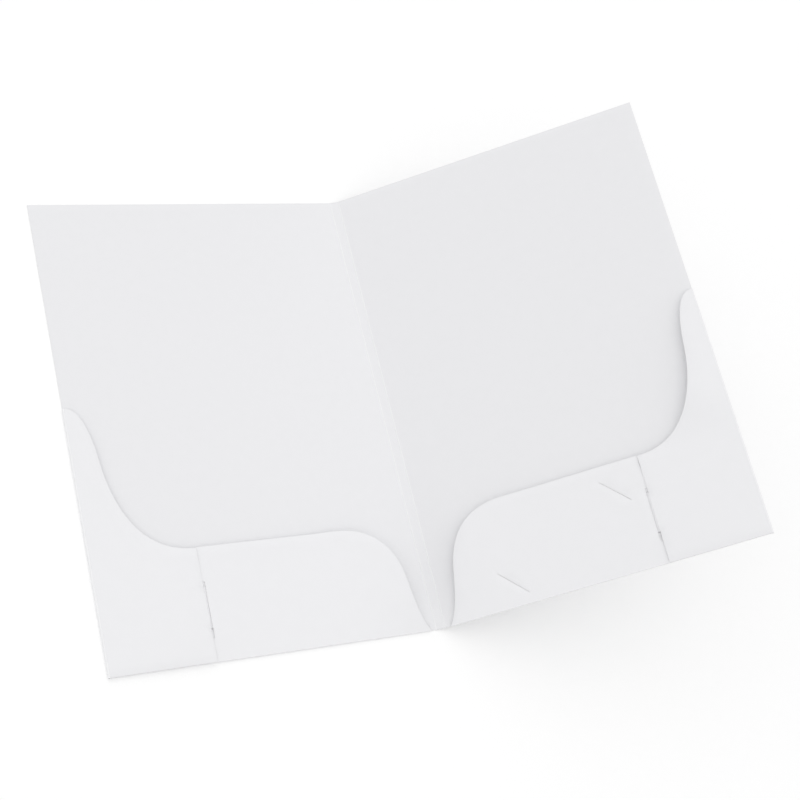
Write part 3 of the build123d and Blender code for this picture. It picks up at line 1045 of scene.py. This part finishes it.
def seen_by_camera(tree):
    """Socket that is 1 where the camera looks, also by way of a gloss or a clear piece, and else 0."""
    rays = add_node(tree, "ShaderNodeLightPath").outputs
    seen = rays["Is Camera Ray"]
    for way in ("Is Glossy Ray", "Is Transmission Ray"):
        seen = add_node(tree, "ShaderNodeMath", {0: seen, 1: rays[way]}, operation="MAXIMUM").outputs[0]
    return seen


def paper_sweep_finish(stage):
    """Material of the floor."""
    # Pale paper sweep, smooth: plain and matt. The camera sees it a little lighter than its light.
    paper = bpy.data.materials.new("matt_paper_sweep")
    paper.use_nodes = True
    tree = paper.node_tree
    sheet, out = tree.nodes["Principled BSDF"], tree.nodes["Material Output"]
    sheet.inputs["Base Color"].default_value = stage.floor
    sheet.inputs["Roughness"].default_value = 0.9
    sheet.inputs["Specular IOR Level"].default_value = 0.0
    lifted = add_node(tree, "ShaderNodeMath", {0: seen_by_camera(tree), 1: stage.floor_lift},
                      operation="MULTIPLY")
    glow = add_node(tree, "ShaderNodeEmission", {"Strength": lifted.outputs[0]})
    both = add_node(tree, "ShaderNodeAddShader", {0: sheet.outputs[0], 1: glow.outputs[0]})
    tree.links.new(both.outputs[0], out.inputs["Surface"])
    return paper


def stand_camera(scene, stage):
    """Put up the camera for the photograph's view."""
    camera = bpy.data.objects.new("camera", bpy.data.cameras.new("camera"))
    camera.data.lens, camera.data.sensor_width = stage.lens, stage.sensor
    right, up = Vector(stage.camera_right), Vector(stage.camera_up)
    axes = Matrix((right, up, right.cross(up))).transposed()
    camera.matrix_world = Matrix.Translation(stage.camera_place) @ axes.to_4x4()
    scene.collection.objects.link(camera)
    scene.camera = camera


def lay_floor(scene, stage):
    """Lay the floor just under the folder."""
    half, below = stage.floor_half, -stage.floor_drop
    corners = ((-half, -half), (half, -half), (half, half), (-half, half))
    plane = bpy.data.meshes.new("floor")
    plane.from_pydata([(x, y, below) for x, y in corners], [], [range(len(corners))])
    plane.materials.append(paper_sweep_finish(stage))
    floor = bpy.data.objects.new("floor", plane)
    scene.collection.objects.link(floor)


def hang_lamp(scene, stage):
    """Hang the broad light overhead."""
    lamp = bpy.data.lights.new("overhead_light", "SUN")
    lamp.energy, lamp.angle = stage.key, stage.key_spread
    overhead = bpy.data.objects.new("overhead_light", lamp)
    overhead.rotation_mode = "QUATERNION"
    overhead.rotation_quaternion = Vector(stage.key_travel).to_track_quat("-Z", "Y")
    scene.collection.objects.link(overhead)


def light_surroundings(scene, stage):
    """Give even light from all round, which the camera sees as a plain backdrop."""
    scene.world = bpy.data.worlds.new("even_studio_light")
    scene.world.use_nodes = True
    tree = scene.world.node_tree
    sky = tree.nodes["Background"]
    sky.inputs["Color"].default_value = stage.sky_tint
    level = add_node(tree, "ShaderNodeMapRange", {"Value": seen_by_camera(tree), "To Min": stage.sky,
                                                  "To Max": stage.backdrop})
    tree.links.new(level.outputs["Result"], sky.inputs["Strength"])


class FOLDER_OT_stage(bpy.types.Operator):
    """Make the camera, the floor, the lamp and the even light round the folder."""

    bl_idname = "folder.stage"
    bl_label = "Stage"

    def execute(self, context):
        scene, stage = context.scene, context.scene.folder_stage
        scene.view_settings.view_transform = "Standard"
        stand_camera(scene, stage)
        lay_floor(scene, stage)
        hang_lamp(scene, stage)
        light_surroundings(scene, stage)
        return {"FINISHED"}


PIECES = (
    FOLDER_OT_cover_panels,
    FOLDER_OT_spine_panel,
    FOLDER_OT_spine_creases,
    FOLDER_OT_rounded_folds,
    FOLDER_OT_bottom_flaps,
    FOLDER_OT_side_flaps,
    FOLDER_OT_lock_tongues,
    FOLDER_OT_stage,
)


class FOLDER_PT_sidebar(bpy.types.Panel):
    """Sizes, colours and pieces of the folder."""

    bl_idname = "FOLDER_PT_sidebar"
    bl_label = "Two pocket folder"
    bl_space_type = "VIEW_3D"
    bl_region_type = "UI"
    bl_category = "Folder"

    def draw(self, context):
        for name, group in GROUPS.items():
            box = self.layout.box()
            box.label(text=group.__doc__)
            for key in group.__annotations__:
                box.prop(getattr(context.scene, name), key)
        for operator in PIECES:
            self.layout.operator(operator.bl_idname)


CLASSES = (*GROUPS.values(), *PIECES, FOLDER_PT_sidebar)


def register():
    for cls in CLASSES:
        bpy.utils.register_class(cls)
    for name, group in GROUPS.items():
        setattr(bpy.types.Scene, name, PointerProperty(type=group))


def unregister():
    for name in GROUPS:
        delattr(bpy.types.Scene, name)
    for cls in reversed(CLASSES):
        bpy.utils.unregister_class(cls)


def main():
    register()
    bpy.ops.folder.cover_panels()
    bpy.ops.folder.spine_panel()
    bpy.ops.folder.spine_creases()
    bpy.ops.folder.rounded_folds()
    bpy.ops.folder.bottom_flaps()
    bpy.ops.folder.side_flaps()
    bpy.ops.folder.lock_tongues()
    bpy.ops.folder.stage()


if __name__ == "__main__":
    main()
